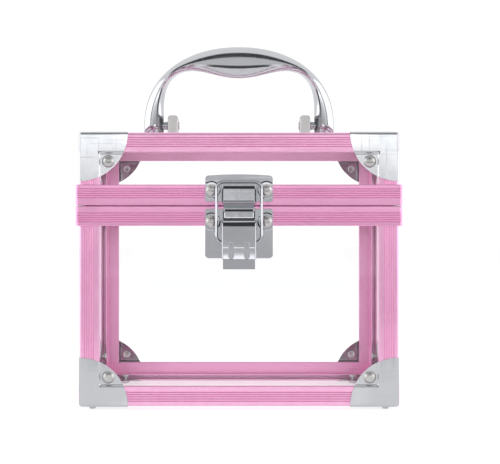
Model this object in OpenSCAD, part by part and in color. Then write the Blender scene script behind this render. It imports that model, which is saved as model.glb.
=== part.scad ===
// Makeup train case: clear panels held in ribbed aluminium extrusions, with
// pressed steel corners, a fold-down carrying handle, two rear hinges and a
// draw latch. The case is built around its own middle, then stood on its feet.

/* [Case] */
// Width across the corner posts
case_w = 210; // [180:1:260]
// Depth from the front posts to the rear posts
case_d = 150; // [120:1:200]
// Height from the bottom rails to the top rails
case_h = 180; // [150:1:240]
// Room between the lid's corner plates and its closing band
lid_room = 2.3; // [1:0.1:20]
// Gap between the lid and the body when shut
split_gap = 0.4; // [0.3:0.1:1]

/* [Extrusions] */
// Width of each leg of the L-shaped extrusions
leg_w = 13; // [11:0.5:18]
// Thickness of the outer wall of the extrusions
wall = 1.4; // [1.2:0.1:2]
// Thickness of the lip that holds a panel from inside
lip_t = 1; // [0.8:0.1:2]
// Radius of the extrusions' outer corner
edge_r = 1.8; // [0.5:0.1:2]
// Ribs between the grooves: spacing of the grooves
groove_pitch = 1.45; // [1:0.05:2]
// Number of grooves on each face
groove_count = 5; // [0:1:6]
// Width of a groove
groove_w = 0.5; // [0.3:0.05:0.8]
// Depth of a groove
groove_d = 0.3; // [0.1:0.05:0.5]
// Height of the closing band on the lid
lid_band_h = 13.7; // [13:0.1:18]
// Height of the closing band on the body
body_band_h = 13.1; // [13:0.1:18]
// How far the closing bands stand out from the posts
band_proud = 2.3; // [1.5:0.1:4]
// Height of the dust lip inside the closing bands
tongue_h = 2.4; // [1.5:0.1:3]
// Thickness of the dust lip
tongue_t = 1.2; // [0.8:0.1:1.5]
// Clearance around the dust lip
tongue_gap = 0.5; // [0.4:0.1:0.8]

/* [Panels] */
// Thickness of the clear panels
panel_t = 2.5; // [2:0.1:3]
// Side clearance of a panel in its slot
slot_gap = 0.05; // [0.05:0.05:0.2]
// Clearance between a panel's edge and the bottom of its slot
edge_gap = 0.3; // [0.1:0.1:1]
// How deep a panel goes into a closing band
band_seat = 7.5; // [5:0.5:8]

/* [Corners] */
// Reach of a corner plate beyond the middle of its rivets
cap_reach = 13; // [12.5:0.5:20]
// Sheet thickness of the corner plates
cap_t = 0.6; // [0.5:0.1:1.2]
// Height of the stamped feet under the bottom corners
foot_h = 2; // [1.5:0.1:4]
// Radius of a stamped foot where it stands
foot_r = 2; // [1:0.1:3]
// Distance of a foot from both outer faces
foot_in = 8; // [6:0.5:10]

/* [Rivets] */
// Distance of a corner rivet from the inner edges of the extrusions
rivet_set = 6; // [5.5:0.1:7]
// Radius of a rivet's head
rivet_head_r = 4.2; // [3:0.1:4.4]
// Height of a rivet's head
rivet_head_h = 2.2; // [1:0.1:2.6]
// Radius of a rivet's shank
rivet_r = 1.6; // [1:0.1:2]
// Radius of the rolled end of a rivet
rivet_tail_r = 2.8; // [2:0.1:3.5]
// Height of the rolled end of a rivet
rivet_tail_h = 1.2; // [0.8:0.1:2]

/* [Handle] */
// Width of the handle over its arms
handle_w = 135.2; // [110:0.2:140]
// Height of the handle above the top rails
handle_h = 65.4; // [58:0.2:80]
// Width of each of the handle's arms
arm_w = 14.1; // [12:0.1:18]
// Thickness of the grip from its top to its belly
grip_t = 22.4; // [18:0.2:26]
// Depth of the grip from front to rear
grip_d = 19; // [14:0.5:19]
// Depth of the arms from front to rear
arm_d = 13; // [10:0.5:16]
// Height of the handle's pins above the top rails
handle_pin_z = 9.2; // [8.5:0.1:12]
// Radius of the handle's pins
handle_pin_r = 2.5; // [2:0.1:3]
// Thickness of each handle bracket
bracket_t = 7.4; // [6:0.1:10]
// Depth of each handle bracket from front to rear
bracket_d = 14; // [10:0.5:18]
// Height of the handle brackets above the top rails
bracket_h = 16.3; // [15:0.1:20]
// Running clearance of pins in their bores
run_gap = 0.08; // [0.02:0.01:0.1]
// Clearance between faces that swing past each other
swing_gap = 0.3; // [0.3:0.05:0.6]

/* [Latch] */
// Width of the latch plates
latch_w = 44.5; // [40:0.5:50]
// Sheet thickness of the latch
latch_t = 1; // [0.8:0.1:1.2]
// Height of the keeper plate on the lid
keeper_h = 18; // [14:0.5:20]
// Height of the latch plate on the body
latch_plate_h = 32.5; // [30:0.5:36]
// Width of the latch lever
lever_w = 20.8; // [18:0.2:22]
// Width of the wire bail over its sides
bail_w = 31.7; // [29:0.1:33]
// Height of the wire bail over its bars
bail_h = 42.1; // [40:0.1:44]
// Diameter of the bail wire
wire_d = 2; // [1.6:0.1:2.4]
// Distance of the latch rivets from the middle
latch_rivet_x = 18; // [17.5:0.1:19]

/* [Hinges] */
// Distance of each hinge from the middle
hinge_x = 55; // [40:1:70]
// Width of a hinge
hinge_w = 30; // [20:1:40]
// Height of a hinge leaf
hinge_leaf_h = 12; // [10:0.5:13]
// Radius of a hinge knuckle
knuckle_r = 2.5; // [2:0.1:3]
// Radius of a hinge pin
hinge_pin_r = 1.2; // [0.8:0.1:1.5]

/* [Hidden] */
$fn = 48;
SIDES = ["front", "right", "rear", "left"];
CORNERS = ["front_left", "front_right", "rear_right", "rear_left"];
// The two bodies that have a frame of their own
HALVES = ["body", "lid"];
FRAME_PARTS = ["post", "corner"];

pink = "#e291c4";
steel = "#c9cdd2";
clear = [0.93, 0.96, 0.98, 0.25];

// Frame: slots, walls and levels
slot_w = panel_t + 2 * slot_gap;
frame_t = wall + panel_t + slot_gap + lip_t;
band_t = band_proud + frame_t;
slot_edge = frame_t + edge_gap;
base_z = foot_h + cap_t;
rivet_in = leg_w + rivet_set;
cap_r = rivet_in + cap_reach;
lid_h = cap_r + lid_room + lid_band_h + split_gap / 2;
split_z = case_h - lid_h;
body_band_top = split_z - split_gap / 2;
lid_band_low = split_z + split_gap / 2;
big = case_w + case_d + case_h;
fuzz = 0.01;
// Cuts run past the faces that they open by this much
over = 1;

// Grooves: offset from the middle of a leg, and distance from a band's outer edge
groove_shift = 0.2;
band_groove_mid = 5.7;

// Corner plates and rivets
cap_step = leg_w + slot_gap;
foot_flare = 1.5;
rivet_wall = 0.5;
pin_flare = 0.6;
pin_head_t = 0.8;

// Latch, measured outwards from the band's face and upwards from the split
band_face = case_d / 2 + band_proud;
latch_corner_r = 2.5;
keeper_low = 2.6;
keeper_rivet_z = 10.2;
plate_top = -2;
plate_rivet_z = -10.4;
lever_pin_r = 1.2;
lever_pin_out = 5.2;
lever_pin_z = -12.5;
knuckle_t = 1.4;
ear_t = 1;
ear_r = 3;
// The housing stays low enough for the lever to swing over it
housing_out = lever_pin_out - 1.2;
bail_bar_z = -24.4;
bail_lean = 1.8;
bail_corner_r = 5;
wire_r = wire_d / 2;
bail_x = bail_w / 2 - wire_r;
bail_len = bail_h - wire_d;
bail_top_z = bail_bar_z + sqrt(bail_len * bail_len - bail_lean * bail_lean);
bail_top_out = lever_pin_out - bail_lean;
bridge_in = 0.4;
hook_w = 21.7;
hook_seat_gap = 0.35;
hook_seat_z = bail_top_z - wire_r - hook_seat_gap;
hook_lip_gap = 1.75;
hook_lip_out = bail_top_out + wire_r + hook_lip_gap;
hook_lip_h = 0.95;
lever_len = 29.1;
lever_bend = 15;
lever_tab = 22.8;
lever_sheet = 1.2;
lever_out = 4.8;
lever_tab_out = 6.6;
flange_t = 1;
flange_foot = 3;
slot_len = 12;
lever_slot_w = 3.6;
lever_slot_x = 5.1;
latch_reach = lever_pin_out + lever_tab_out;

// Hinges, measured outwards from the band's face
hinge_leaf_t = 1;
hinge_pin_out = knuckle_r + swing_gap;
hinge_knuckles = 5;
knuckle_len = hinge_w / hinge_knuckles;
hinge_reach = hinge_pin_out + knuckle_r;
hinge_leaf_end = hinge_leaf_h + 0.8;
hinge_rivet_x = 0.3 * hinge_w;
hinge_rivet_z = hinge_leaf_h / 2 + 1.6;

// Handle
handle_outer_x = handle_w / 2;
handle_inner_x = handle_outer_x - arm_w;
spring_z = 10;
belly = 8;
outer_power = 2.15;
inner_power = 4;
grip_flat = 0.6;
collar_r = handle_pin_r + 0.5;
collar_len = 3;
bracket_x = handle_inner_x - collar_len - bracket_t;
bracket_chamfer = 1.6;
collar_end = handle_inner_x - swing_gap;
pin_depth = 7;
screw_r = 1.5;
screw_head_r = 3.5;
screw_head_h = 2;
screw_into = 8;
screw_socket_r = 1.5;
washer_r = 5;
washer_t = 0.8;

// Middle of the case in Y, so that the latch and the hinges stand out equally
case_y = (latch_reach - hinge_reach) / 2;

// ---- placing ----

// Stands the case on its feet, with its outline centred
module stand() {
    translate([0, case_y, base_z]) children();
}

// Puts a piece drawn for the front left corner at any corner
module at_corner(c) {
    right = c == 1 || c == 2;
    rear = c >= 2;
    mirror([right ? 1 : 0, 0, 0]) mirror([0, rear ? 1 : 0, 0])
        translate([-case_w / 2, -case_d / 2, 0]) children();
}

// Turns the lid's pieces over, so that they share the body's drawings
module from_top() {
    translate([0, 0, case_h]) mirror([0, 0, 1]) children();
}

// The three faces that meet at a corner
module each_face() {
    for (turn = [0:2]) rotate(120 * turn, [1, 1, 1]) children();
}

// ---- extrusions ----

// Cuts that every extruded face carries, from its outer edge at 0
module grooves_2d(middle) {
    for (i = [0:1:groove_count - 1])
        translate([middle + (i - (groove_count - 1) / 2) * groove_pitch - groove_w / 2, -over])
            square([groove_w, over + groove_d]);
}

module leg_2d() {
    difference() {
        square([leg_w, frame_t]);
        translate([frame_t, wall - slot_gap]) square([leg_w, slot_w]);
        grooves_2d(leg_w / 2 - groove_shift);
    }
}

// L-shaped section with its outer corner at the origin
module rail_2d() {
    difference() {
        union() {
            leg_2d();
            mirror([1, -1]) leg_2d();
        }
        difference() {
            translate([-over, -over]) square(edge_r + over);
            translate([edge_r, edge_r]) circle(edge_r);
        }
    }
}

// Closing band: x runs inwards from the outer face, y up from the panel's side
module band_2d(height) {
    difference() {
        square([band_t, height]);
        translate([band_proud + wall - slot_gap, -over]) square([slot_w, over + band_seat + edge_gap]);
        mirror([1, -1]) grooves_2d(band_groove_mid);
    }
}

module body_band_2d() {
    translate([0, body_band_top - body_band_h]) {
        band_2d(body_band_h);
        translate([band_t - tongue_t, body_band_h - fuzz]) square([tongue_t, tongue_h + fuzz]);
    }
}

module lid_band_2d() {
    recess = tongue_t + tongue_gap;
    translate([0, lid_band_low + lid_band_h]) difference() {
        mirror([0, 1]) band_2d(lid_band_h);
        translate([band_t - recess, -lid_band_h - over])
            square([recess + over, over + tongue_h + tongue_gap]);
    }
}

// One side of a mitred ring, from its section; side 0 is the front
module ring_side(side, proud) {
    along_x = side % 2 == 0;
    len = (along_x ? case_w : case_d) + 2 * proud;
    off = (along_x ? case_d : case_w) / 2 + proud;
    mitre = leg_w + proud;
    rotate(90 * side) intersection() {
        translate([0, -off, 0]) rotate([90, 0, 90]) linear_extrude(len, center = true) children();
        translate([0, 0, -over]) linear_extrude(big) polygon([
            [-len / 2, -off], [len / 2, -off], [len / 2 - mitre, -off + mitre], [mitre - len / 2, -off + mitre]
        ]);
    }
}

module rail(side) {
    color(pink) ring_side(side, 0) rail_2d();
}

module post(c, top) {
    color(pink) at_corner(c) translate([0, 0, leg_w]) linear_extrude(top - leg_w) rail_2d();
}

module body_band(side) {
    color(pink) difference() {
        ring_side(side, band_proud) body_band_2d();
        body_bores();
    }
}

module lid_band(side) {
    color(pink) difference() {
        ring_side(side, band_proud) lid_band_2d();
        lid_bores();
    }
}

// ---- panels ----

// Bores for the three rivets at a bottom corner
module rivet_bores() {
    each_face() translate([rivet_in, rivet_in, -over]) cylinder(h = wall + panel_t + 2 * over, r = rivet_r);
}

// Upright panel between two posts, standing in a rail and a band
module side_panel(side, top) {
    along_x = side % 2 == 0;
    w = (along_x ? case_w : case_d) - 2 * slot_edge;
    off = (along_x ? case_d : case_w) / 2;
    color(clear) difference() {
        rotate(90 * side) translate([-w / 2, wall - off, slot_edge]) cube([w, panel_t, top - slot_edge]);
        for (c = [0:3]) at_corner(c) rivet_bores();
    }
}

// Flat panel in a ring of rails
module flat_panel() {
    size = [case_w - 2 * slot_edge, case_d - 2 * slot_edge, panel_t];
    difference() {
        translate([-size.x / 2, -size.y / 2, wall]) cube(size);
        for (c = [0:3]) at_corner(c) rivet_bores();
    }
}

module base_panel() {
    color(clear) flat_panel();
}

module top_panel() {
    color(clear) difference() {
        from_top() flat_panel();
        each_bracket() translate([0, 0, case_h - wall - panel_t - over])
            cylinder(h = panel_t + 2 * over, r = screw_r);
    }
}

// ---- corners ----

// Quarter disc of a corner plate, from which the raised and sunk parts are cut
module cap_quarter_2d() {
    intersection() {
        circle(cap_r, $fn = 96);
        translate([-cap_t, -cap_t]) square(cap_r + over);
    }
}

module cap_face() {
    difference() {
        union() {
            translate([0, 0, -cap_t]) linear_extrude(cap_t) difference() {
                cap_quarter_2d();
                translate([cap_step, cap_step]) square(cap_r);
            }
            translate([0, 0, -cap_t]) linear_extrude(wall + cap_t) intersection() {
                cap_quarter_2d();
                difference() {
                    translate([cap_step, cap_step]) square(cap_r);
                    translate([cap_step + cap_t, cap_step + cap_t]) square(cap_r);
                }
            }
            translate([0, 0, wall - cap_t]) linear_extrude(cap_t) intersection() {
                cap_quarter_2d();
                translate([cap_step, cap_step]) square(cap_r);
            }
        }
        translate([rivet_in, rivet_in, -over]) cylinder(h = wall + 2 * over, r = rivet_r);
    }
}

// Everything inside the rounded outer edges that run along Z
module rounded_outside() {
    outer_r = edge_r + cap_t;
    linear_extrude(big, center = true) union() {
        translate([edge_r, -cap_t]) square(big);
        translate([-cap_t, edge_r]) square(big);
        translate([edge_r, edge_r]) circle(outer_r);
    }
}

module cap() {
    intersection() {
        each_face() cap_face();
        rounded_outside();
        rotate(120, [1, 1, 1]) rounded_outside();
        rotate(240, [1, 1, 1]) rounded_outside();
    }
}

module body_corner(c) {
    color(steel) at_corner(c) {
        cap();
        translate([foot_in, foot_in, -base_z]) cylinder(h = foot_h + fuzz, r1 = foot_r, r2 = foot_r + foot_flare);
    }
}

module lid_corner(c) {
    color(steel) from_top() at_corner(c) cap();
}

// ---- rivets ----

// Domed head that sits on z = 0 and rises along +z
module rivet_head() {
    dome_r = (rivet_head_r * rivet_head_r + rivet_head_h * rivet_head_h) / (2 * rivet_head_h);
    rotate_extrude() intersection() {
        translate([0, rivet_head_h - dome_r]) circle(dome_r, $fn = 96);
        square([rivet_head_r, rivet_head_h]);
    }
}

// Tubular rivet through a corner plate and a panel, with its head towards -z
module corner_rivet() {
    grip = cap_t + panel_t;
    mirror([0, 0, 1]) rivet_head();
    difference() {
        union() {
            translate([0, 0, -fuzz]) cylinder(h = grip + fuzz, r = rivet_r);
            translate([0, 0, grip]) cylinder(h = rivet_tail_h, r = rivet_tail_r);
        }
        translate([0, 0, grip - rivet_tail_h]) cylinder(h = 3 * rivet_tail_h, r = rivet_r - rivet_wall);
    }
}

module corner_rivets() {
    for (c = [0:3]) at_corner(c) each_face()
        translate([rivet_in, rivet_in, wall - cap_t]) corner_rivet();
}

module body_corner_rivets() {
    color(steel) corner_rivets();
}

module lid_corner_rivets() {
    color(steel) from_top() corner_rivets();
}

// Blind rivet into a band: head on the sheet at height z, shank towards the case
module band_rivet(sheet) {
    translate([0, 0, sheet]) rivet_head();
    translate([0, 0, -band_proud]) cylinder(h = band_proud + sheet + fuzz, r = rivet_r);
}

// Latch frame: x across, y up from the split, z outwards from the band's face
module on_front() {
    translate([0, -band_face, split_z]) rotate([90, 0, 0]) children();
}

module on_rear() {
    translate([0, band_face, split_z]) rotate([90, 0, 180]) children();
}

module each_hinge() {
    for (side = [-1, 1]) translate([side * hinge_x, 0, 0]) children();
}

// Rivets of one half: two for its latch plate and two for each hinge leaf
module hardware_rivets(latch_y, hinge_y) {
    on_front() for (side = [-1, 1])
        translate([side * latch_rivet_x, latch_y, 0]) band_rivet(latch_t);
    on_rear() each_hinge() for (side = [-1, 1])
        translate([side * hinge_rivet_x, hinge_y, 0]) band_rivet(hinge_leaf_t);
}

module band_bores(latch_y, hinge_y) {
    on_front() for (side = [-1, 1])
        translate([side * latch_rivet_x, latch_y, -band_proud]) cylinder(h = big, r = rivet_r);
    on_rear() each_hinge() for (side = [-1, 1])
        translate([side * hinge_rivet_x, hinge_y, -band_proud]) cylinder(h = big, r = rivet_r);
}

module body_bores() {
    band_bores(plate_rivet_z, -hinge_rivet_z);
}

module lid_bores() {
    band_bores(keeper_rivet_z, hinge_rivet_z);
}

module body_hardware_rivets() {
    color(steel) hardware_rivets(plate_rivet_z, -hinge_rivet_z);
}

module lid_hardware_rivets() {
    color(steel) hardware_rivets(keeper_rivet_z, hinge_rivet_z);
}

// ---- latch ----

// Plate with rounded corners, centred across and rising from y = low
module plate_2d(w, low, h, r) {
    translate([-w / 2, low + r]) square([w, h - 2 * r]);
    translate([r - w / 2, low]) square([w - 2 * r, h]);
    for (x = [r - w / 2, w / 2 - r]) for (y = [low + r, low + h - r])
        translate([x, y]) circle(r);
}

// Extrudes a side view across the latch; its x is outwards and its y is up
module across(w) {
    rotate([0, -90, 0]) linear_extrude(w, center = true) children();
}

// Pressed bridge: a sheet that leaves the plate, runs along it and comes back
module bridge(w, low, high, out) {
    across(w) difference() {
        translate([latch_t - fuzz, low]) square([out - latch_t + fuzz, high - low]);
        translate([0, low + latch_t]) square([out - latch_t, high - low - 2 * latch_t]);
    }
}

module latch_keeper() {
    color(steel) difference() {
        on_front() {
            linear_extrude(latch_t) plate_2d(latch_w, keeper_low, keeper_h, latch_corner_r);
            bridge(hook_w, keeper_low + bridge_in, hook_seat_z, hook_lip_out + latch_t);
            across(hook_w) translate([hook_lip_out, hook_seat_z - fuzz])
                square([latch_t, hook_lip_h + fuzz]);
        }
        lid_bores();
    }
}

// Ear that carries one end of the lever's pin
module ear_2d() {
    difference() {
        union() {
            translate([lever_pin_out, lever_pin_z]) circle(ear_r);
            translate([latch_t - fuzz, lever_pin_z - ear_r])
                square([lever_pin_out - latch_t + fuzz, 2 * ear_r]);
        }
        translate([lever_pin_out, lever_pin_z]) circle(lever_pin_r);
    }
}

module latch_plate() {
    ear_x = lever_w / 2 + swing_gap + ear_t / 2;
    housing_low = lever_pin_z + lever_pin_r + knuckle_t + swing_gap;
    color(steel) difference() {
        on_front() {
            linear_extrude(latch_t)
                plate_2d(latch_w, plate_top - latch_plate_h, latch_plate_h, latch_corner_r);
            bridge(lever_w, housing_low, plate_top - bridge_in, housing_out);
            for (side = [-1, 1]) translate([side * ear_x, 0, 0]) across(ear_t) ear_2d();
        }
        body_bores();
    }
}

module latch_pin() {
    half = lever_w / 2 + swing_gap + ear_t;
    color(steel) on_front() translate([0, lever_pin_z, lever_pin_out]) rotate([0, 90, 0]) {
        cylinder(h = 2 * half, r = lever_pin_r, center = true);
        for (side = [-1, 1]) translate([0, 0, side * (half + pin_head_t / 2)])
            cylinder(h = pin_head_t, r = lever_pin_r + pin_flare, center = true);
    }
}

// Side view of the lever's front sheet, around its pin
module lever_web_2d() {
    front = [
        [lever_pin_r + knuckle_t, 0], [lever_out, -lever_bend],
        [lever_out, -lever_tab], [lever_tab_out, -lever_len]
    ];
    back = [for (i = [3:-1:0]) front[i] - [lever_sheet, 0]];
    polygon(concat(front, back));
}

// Side view of the lever's side flange, with bores for the pin and the bail
module lever_flange_2d() {
    drop = lever_pin_z - bail_bar_z;
    difference() {
        union() {
            circle(lever_pin_r + knuckle_t);
            polygon([
                [-lever_pin_r - knuckle_t, 0], [lever_pin_r + knuckle_t, 0],
                [lever_out, -lever_bend], [lever_out, -lever_bend - flange_foot],
                [0, -drop - wire_r - knuckle_t], [-wire_r - knuckle_t, -drop]
            ]);
            translate([0, -drop]) circle(wire_r + knuckle_t);
        }
        circle(lever_pin_r + run_gap);
        translate([0, -drop]) circle(wire_r + run_gap);
    }
}

module latch_lever() {
    flange_x = (lever_w - flange_t) / 2;
    color(steel) on_front() translate([0, lever_pin_z, lever_pin_out]) difference() {
        union() {
            across(lever_w) lever_web_2d();
            for (side = [-1, 1]) translate([side * flange_x, 0, 0]) across(flange_t) lever_flange_2d();
        }
        for (side = [-1, 1]) translate([side * lever_slot_x, -lever_tab + slot_len / 2, 0])
            linear_extrude(big) plate_2d(lever_slot_w, -slot_len / 2, slot_len, lever_slot_w / 2 - fuzz);
    }
}

// Wire loop: four straight runs and four bends
module latch_bail() {
    tilt = asin(bail_lean / bail_len);
    straight_x = bail_x - bail_corner_r;
    straight_y = bail_len - 2 * bail_corner_r;
    color(steel) on_front() translate([0, bail_bar_z, lever_pin_out]) rotate([-tilt, 0, 0]) {
        for (y = [0, bail_len]) translate([0, y, 0]) rotate([0, 90, 0])
            cylinder(h = 2 * straight_x, r = wire_r, center = true);
        for (side = [-1, 1]) translate([side * bail_x, bail_corner_r, 0]) rotate([-90, 0, 0])
            cylinder(h = straight_y, r = wire_r);
        for (turn = [0:3]) {
            x = (turn == 0 || turn == 3 ? 1 : -1) * straight_x;
            y = turn < 2 ? bail_corner_r + straight_y : bail_corner_r;
            translate([x, y, 0]) rotate(90 * turn) rotate_extrude(angle = 90)
                translate([bail_corner_r, 0]) circle(wire_r);
        }
    }
}

// ---- handle ----

module each_bracket() {
    for (side = [-1, 1]) translate([side * (bracket_x + bracket_t / 2), 0, 0]) children();
}

// Height of a squarish arch above its springing, at x across
function arch(x, half, rise, power) = rise * pow(max(0, 1 - pow(abs(x) / half, power)), 1 / power);

// Front view of the handle above the top rails: two arches and the grip's belly
module handle_2d() {
    outer_rise = handle_h - spring_z;
    inner_rise = handle_h - grip_t + belly - spring_z;
    // Steps are even in angle, so that the steep ends stay smooth
    steps = 48;
    outer = [for (i = [0:steps]) let (x = -handle_outer_x * cos(180 * i / steps))
        [x, spring_z + arch(x, handle_outer_x, outer_rise, outer_power)]];
    inner = [for (i = [steps:-1:0]) let (x = -handle_inner_x * cos(180 * i / steps))
        [x, spring_z + arch(x, handle_inner_x, inner_rise, inner_power)
            - belly * pow(cos(min(90, abs(x) * 2)), 2)]];
    polygon(concat([[-handle_outer_x, 0]], outer, [[handle_outer_x, 0], [handle_inner_x, 0]],
        inner, [[-handle_inner_x, 0]]));
}

// Side view of the handle: round feet about the pins, widening to the grip
module handle_side_2d() {
    arm = arm_d / 2;
    grip = grip_d / 2;
    translate([0, handle_pin_z]) circle(arm);
    polygon([
        [-arm, handle_pin_z], [-grip, handle_h - grip_t], [-grip, handle_h - grip],
        [-grip * grip_flat, handle_h], [grip * grip_flat, handle_h],
        [grip, handle_h - grip], [grip, handle_h - grip_t], [arm, handle_pin_z]
    ]);
}

module handle() {
    color(steel) translate([0, 0, case_h]) difference() {
        intersection() {
            rotate([90, 0, 0]) linear_extrude(grip_d + over, center = true) handle_2d();
            rotate([90, 0, 90]) linear_extrude(handle_w + over, center = true) handle_side_2d();
        }
        for (side = [-1, 1]) translate([side * handle_inner_x, 0, handle_pin_z]) rotate([0, 90, 0])
            cylinder(h = 2 * (pin_depth + swing_gap), r = handle_pin_r + run_gap, center = true);
    }
}

module handle_bracket(side) {
    color(steel) difference() {
        translate([side * (bracket_x + bracket_t / 2), 0, case_h - wall]) rotate([90, 0, 0])
            linear_extrude(bracket_d, center = true) difference() {
                translate([-bracket_t / 2, 0]) square([bracket_t, bracket_h + wall]);
                for (edge = [-1, 1]) translate([edge * bracket_t / 2, bracket_h + wall])
                    rotate(45) square(bracket_chamfer, center = true);
            }
        translate([side * bracket_x, 0, case_h + handle_pin_z]) rotate([0, 90, 0])
            cylinder(h = 2 * bracket_t + over, r = handle_pin_r, center = true);
        each_bracket() translate([0, 0, case_h - wall - over]) cylinder(h = screw_into + over, r = screw_r);
    }
}

module handle_bracket_left() {
    handle_bracket(-1);
}

module handle_bracket_right() {
    handle_bracket(1);
}

// Pin pressed into its bracket, with a collar that spaces the handle's arm
module handle_pins() {
    color(steel) for (side = [-1, 1]) mirror([side < 0 ? 1 : 0, 0, 0])
        translate([bracket_x, 0, case_h + handle_pin_z]) rotate([0, 90, 0]) {
            cylinder(h = handle_inner_x + pin_depth - bracket_x, r = handle_pin_r);
            translate([0, 0, bracket_t]) cylinder(h = collar_end - bracket_x - bracket_t, r = collar_r);
            translate([0, 0, -pin_head_t]) cylinder(h = pin_head_t, r = collar_r);
        }
}

// Screws up through the top panel, each with a washer under its head
module handle_screws() {
    under = case_h - wall - panel_t;
    color(steel) each_bracket() {
        translate([0, 0, under - washer_t]) cylinder(h = washer_t, r = washer_r);
        difference() {
            translate([0, 0, under - washer_t - screw_head_h]) cylinder(h = screw_head_h, r = screw_head_r);
            translate([0, 0, under - washer_t - screw_head_h - over])
                cylinder(h = screw_head_h / 2 + over, r = screw_socket_r, $fn = 6);
        }
        translate([0, 0, under - washer_t - fuzz]) cylinder(h = washer_t + panel_t + screw_into, r = screw_r);
    }
}

// ---- hinges ----

// Leaf and its knuckles; the body's are the odd ones and the lid's the even ones
module hinge_half(first, bore_r) {
    relief = knuckle_r + swing_gap;
    side_gap = swing_gap / 2;
    difference() {
        union() {
            translate([-hinge_w / 2, relief, 0]) cube([hinge_w, hinge_leaf_end - relief, hinge_leaf_t]);
            for (i = [first:2:hinge_knuckles - 1]) translate([(i - hinge_knuckles / 2) * knuckle_len, 0, 0]) {
                translate([side_gap, 0, 0]) cube([knuckle_len - 2 * side_gap, relief + fuzz, hinge_leaf_t]);
                translate([side_gap, 0, hinge_pin_out]) rotate([0, 90, 0])
                    cylinder(h = knuckle_len - 2 * side_gap, r = knuckle_r);
            }
        }
        translate([0, 0, hinge_pin_out]) rotate([0, 90, 0])
            cylinder(h = hinge_w + over, r = bore_r, center = true);
    }
}

module hinge_body_leaves() {
    color(steel) difference() {
        on_rear() each_hinge() mirror([0, 1, 0]) hinge_half(0, hinge_pin_r);
        body_bores();
    }
}

module hinge_lid_leaves() {
    color(steel) difference() {
        on_rear() each_hinge() hinge_half(1, hinge_pin_r + run_gap);
        lid_bores();
    }
}

module hinge_pins() {
    color(steel) on_rear() each_hinge() translate([0, 0, hinge_pin_out]) rotate([0, 90, 0]) {
        cylinder(h = hinge_w, r = hinge_pin_r, center = true);
        for (side = [-1, 1]) translate([0, 0, side * (hinge_w + pin_head_t) / 2])
            cylinder(h = pin_head_t, r = hinge_pin_r + pin_flare, center = true);
    }
}

// ---- the case ----

module body_post(c) {
    post(c, body_band_top - body_band_h);
}

module lid_post(c) {
    from_top() post(c, case_h - lid_band_low - lid_band_h);
}

module body_rail(side) {
    rail(side);
}

module lid_rail(side) {
    from_top() rail(side);
}

module body_panel(side) {
    side_panel(side, body_band_top - body_band_h + band_seat);
}

module lid_panel(side) {
    from_top() side_panel(side, case_h - lid_band_low - lid_band_h + band_seat);
}

for (c = [0:3]) {
    stand() body_post(c);
    stand() body_corner(c);
    stand() lid_post(c);
    stand() lid_corner(c);
}
for (s = [0:3]) {
    stand() body_rail(s);
    stand() lid_rail(s);
    stand() body_band(s);
    stand() lid_band(s);
    stand() body_panel(s);
    stand() lid_panel(s);
}
stand() base_panel();
stand() top_panel();
stand() body_corner_rivets();
stand() lid_corner_rivets();
stand() handle();
stand() handle_bracket_left();
stand() handle_bracket_right();
stand() handle_pins();
stand() handle_screws();
stand() latch_keeper();
stand() latch_plate();
stand() latch_pin();
stand() latch_lever();
stand() latch_bail();
stand() hinge_body_leaves();
stand() hinge_lid_leaves();
stand() hinge_pins();
stand() body_hardware_rivets();
stand() lid_hardware_rivets();
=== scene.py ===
# %% [markdown]
# # A makeup train case
# The case is clear acrylic panels held in ribbed aluminium extrusions, with pressed
# steel corners, a chromed handle that folds over, two hinges and a draw latch.
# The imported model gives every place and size, and this file gives the looks.
# It begins by loading that model, whose parts stay hidden under the finished pieces.

# %% Load the frame
import math

import bpy
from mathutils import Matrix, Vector


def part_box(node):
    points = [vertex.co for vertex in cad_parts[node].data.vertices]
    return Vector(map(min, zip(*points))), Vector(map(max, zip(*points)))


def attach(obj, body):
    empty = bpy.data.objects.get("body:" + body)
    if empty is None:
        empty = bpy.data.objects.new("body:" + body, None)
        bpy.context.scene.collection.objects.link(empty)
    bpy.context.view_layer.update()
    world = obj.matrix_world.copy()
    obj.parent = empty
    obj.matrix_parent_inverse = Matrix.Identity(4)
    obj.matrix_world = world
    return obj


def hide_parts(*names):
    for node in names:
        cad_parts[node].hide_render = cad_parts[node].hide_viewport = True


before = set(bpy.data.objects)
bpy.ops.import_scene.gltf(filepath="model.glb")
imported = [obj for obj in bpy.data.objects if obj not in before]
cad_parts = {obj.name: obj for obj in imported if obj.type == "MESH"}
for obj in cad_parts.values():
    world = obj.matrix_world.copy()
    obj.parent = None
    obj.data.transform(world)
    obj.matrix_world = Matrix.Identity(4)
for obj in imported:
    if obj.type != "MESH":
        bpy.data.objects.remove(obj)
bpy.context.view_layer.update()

# %% [markdown]
# ## Places
# Blender works in metres and a maker thinks in millimetres, so lengths below are in
# millimetres and are scaled once, where they enter an operator. The outer faces of the
# case come from the boxes of its rails and bands.

# %% Where the case stands
MM = 0.001


def node_box(node):
    """Lowest and highest corner of a part of the frame, in millimetres."""
    low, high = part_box(node)
    return low / MM, high / MM


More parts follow.
